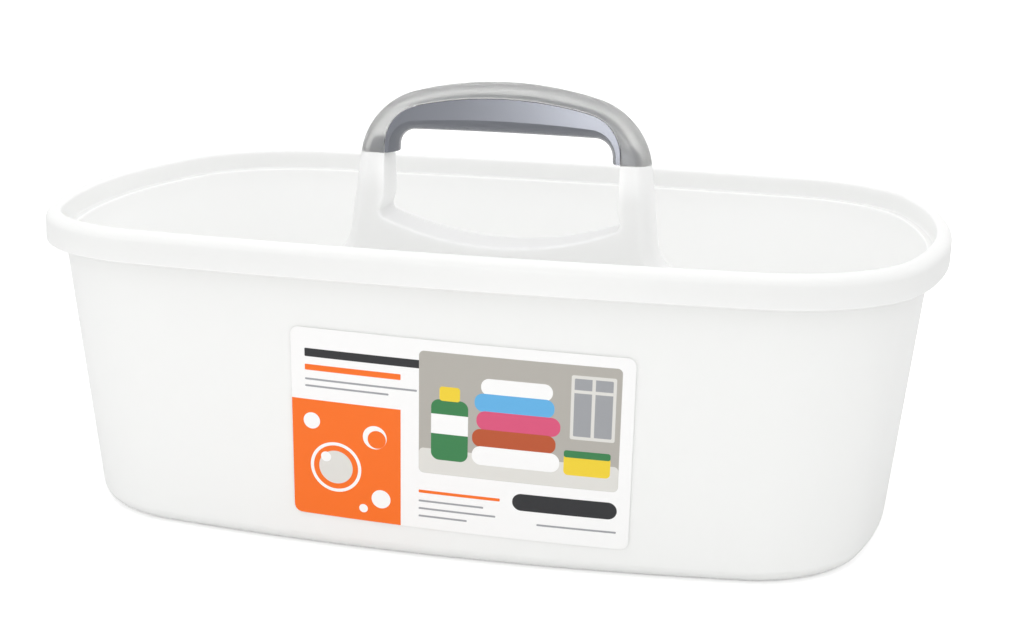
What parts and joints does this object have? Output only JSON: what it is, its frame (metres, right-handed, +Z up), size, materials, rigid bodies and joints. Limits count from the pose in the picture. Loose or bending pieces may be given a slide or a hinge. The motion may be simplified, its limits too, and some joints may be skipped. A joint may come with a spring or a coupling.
{
  "type": "shower caddy",
  "caption": "Translucent open tub with a rolled rim, a central divider that rises into an arched carry handle, a grey hand grip and a front label.",
  "frame": {"origin": "middle of the base, on the plane of the foot ring that the caddy stands on", "axes": "+X along the length, +Y from the labelled front to the back, +Z up through the handle"},
  "size_m": [0.47, 0.308, 0.22],
  "materials": {
    "frosted_plastic": "frosted natural polypropylene, translucent, semi-matt",
    "grey_plastic": "satin grey, slightly soft",
    "label_paper": "white coated adhesive label, semi-gloss, printed"
  },
  "bodies": {
    "root": {"tub": "frosted_plastic", "grip": "grey_plastic", "label": "label_paper"}
  },
  "joints": []
}
